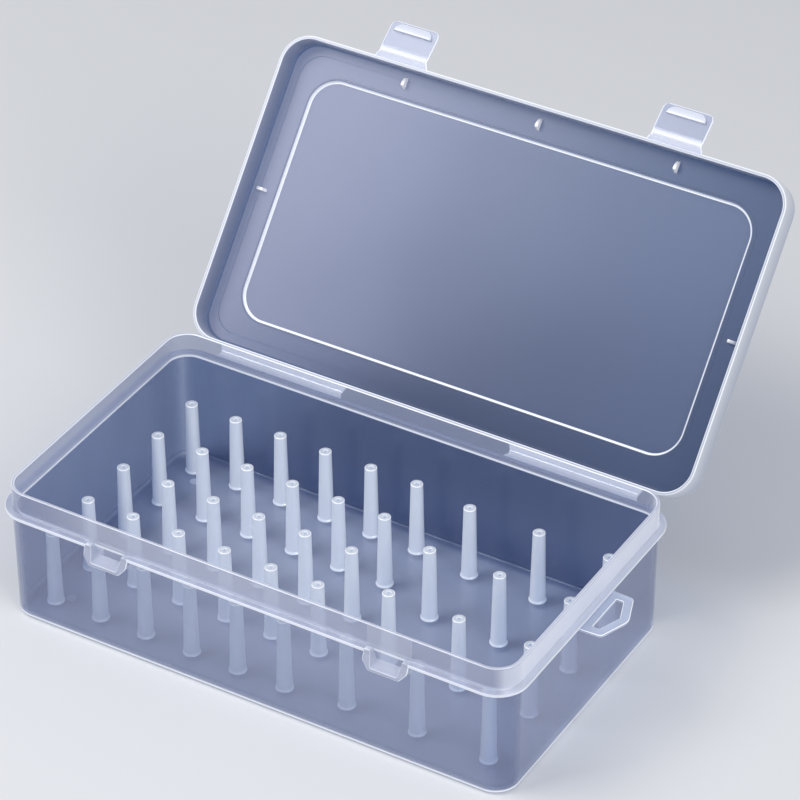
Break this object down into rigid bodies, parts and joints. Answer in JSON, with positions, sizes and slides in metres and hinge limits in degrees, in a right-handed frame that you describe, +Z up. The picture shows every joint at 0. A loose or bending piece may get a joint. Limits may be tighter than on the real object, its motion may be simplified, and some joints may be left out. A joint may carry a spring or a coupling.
{
  "type": "embroidery thread box",
  "caption": "Clear moulded box whose tray has rows of pegs for thread bobbins, with a film-hinged lid, flap latches on its front edge and a hang tab on one end.",
  "frame": {"origin": "centre of the tray, on the surface that its feet stand on", "axes": "+X along the box towards the hang tab, +Y to the back where the lid is hinged, +Z up; stored with the lid open"},
  "size_m": [0.2412, 0.2347, 0.1621],
  "materials": {
    "tray_plastic": "translucent milky polypropylene, glossy",
    "peg_plastic": "translucent milky polypropylene, thicker and whiter, satin gloss",
    "lid_plastic": "translucent milky polypropylene, glossy",
    "latch_plastic": "translucent milky polypropylene, satin gloss"
  },
  "bodies": {
    "tray": {"base_tray": "tray_plastic", "tray_feet": "tray_plastic", "hang_tab": "tray_plastic", "latch_catch_left": "tray_plastic", "latch_catch_right": "tray_plastic", "tray_hinge_leaf_left": "tray_plastic", "tray_hinge_leaf_right": "tray_plastic", "left_peg_1_1": "peg_plastic", "left_peg_1_2": "peg_plastic", "left_peg_1_3": "peg_plastic", "left_peg_1_4": "peg_plastic", "left_peg_1_5": "peg_plastic", "left_peg_2_1": "peg_plastic", "left_peg_2_2": "peg_plastic", "left_peg_2_3": "peg_plastic", "left_peg_2_4": "peg_plastic", "left_peg_2_5": "peg_plastic", "left_peg_3_1": "peg_plastic", "left_peg_3_2": "peg_plastic", "left_peg_3_3": "peg_plastic", "left_peg_3_4": "peg_plastic", "left_peg_3_5": "peg_plastic", "left_peg_4_1": "peg_plastic", "left_peg_4_2": "peg_plastic", "left_peg_4_3": "peg_plastic", "left_peg_4_4": "peg_plastic", "left_peg_4_5": "peg_plastic", "left_peg_5_1": "peg_plastic", "left_peg_5_2": "peg_plastic", "left_peg_5_3": "peg_plastic", "left_peg_5_4": "peg_plastic", "left_peg_5_5": "peg_plastic", "left_peg_6_1": "peg_plastic", "left_peg_6_2": "peg_plastic", "left_peg_6_3": "peg_plastic", "left_peg_6_4": "peg_plastic", "left_peg_6_5": "peg_plastic", "right_peg_1_1": "peg_plastic", "right_peg_1_2": "peg_plastic", "right_peg_1_3": "peg_plastic", "right_peg_1_4": "peg_plastic", "right_peg_2_1": "peg_plastic", "right_peg_2_2": "peg_plastic", "right_peg_2_3": "peg_plastic", "right_peg_2_4": "peg_plastic", "right_peg_3_1": "peg_plastic", "right_peg_3_2": "peg_plastic", "right_peg_3_3": "peg_plastic", "right_peg_3_4": "peg_plastic"},
    "lid": {"lid_shell": "lid_plastic", "lid_ribs": "lid_plastic", "lid_hinge_leaf_left": "lid_plastic", "lid_hinge_leaf_right": "lid_plastic", "latch_shelf_left": "latch_plastic", "latch_shelf_right": "latch_plastic"},
    "latch_left": {"latch_flap_left": "latch_plastic"},
    "latch_right": {"latch_flap_right": "latch_plastic"}
  },
  "joints": [
    {"name": "lid_hinge", "type": "hinge", "parent": "tray", "child": "lid", "pos_m": [0, 0.0679, 0.0505], "axis": [1, 0, 0], "range_deg": [-49.9, 130.1]},
    {"name": "latch_left_hinge", "type": "hinge", "parent": "lid", "child": "latch_left", "pos_m": [-0.0615, 0.156, 0.1545], "axis": [1, 0, 0], "range_deg": [-55, 105]},
    {"name": "latch_right_hinge", "type": "hinge", "parent": "lid", "child": "latch_right", "pos_m": [0.0615, 0.156, 0.1545], "axis": [1, 0, 0], "range_deg": [-55, 105]}
  ]
}
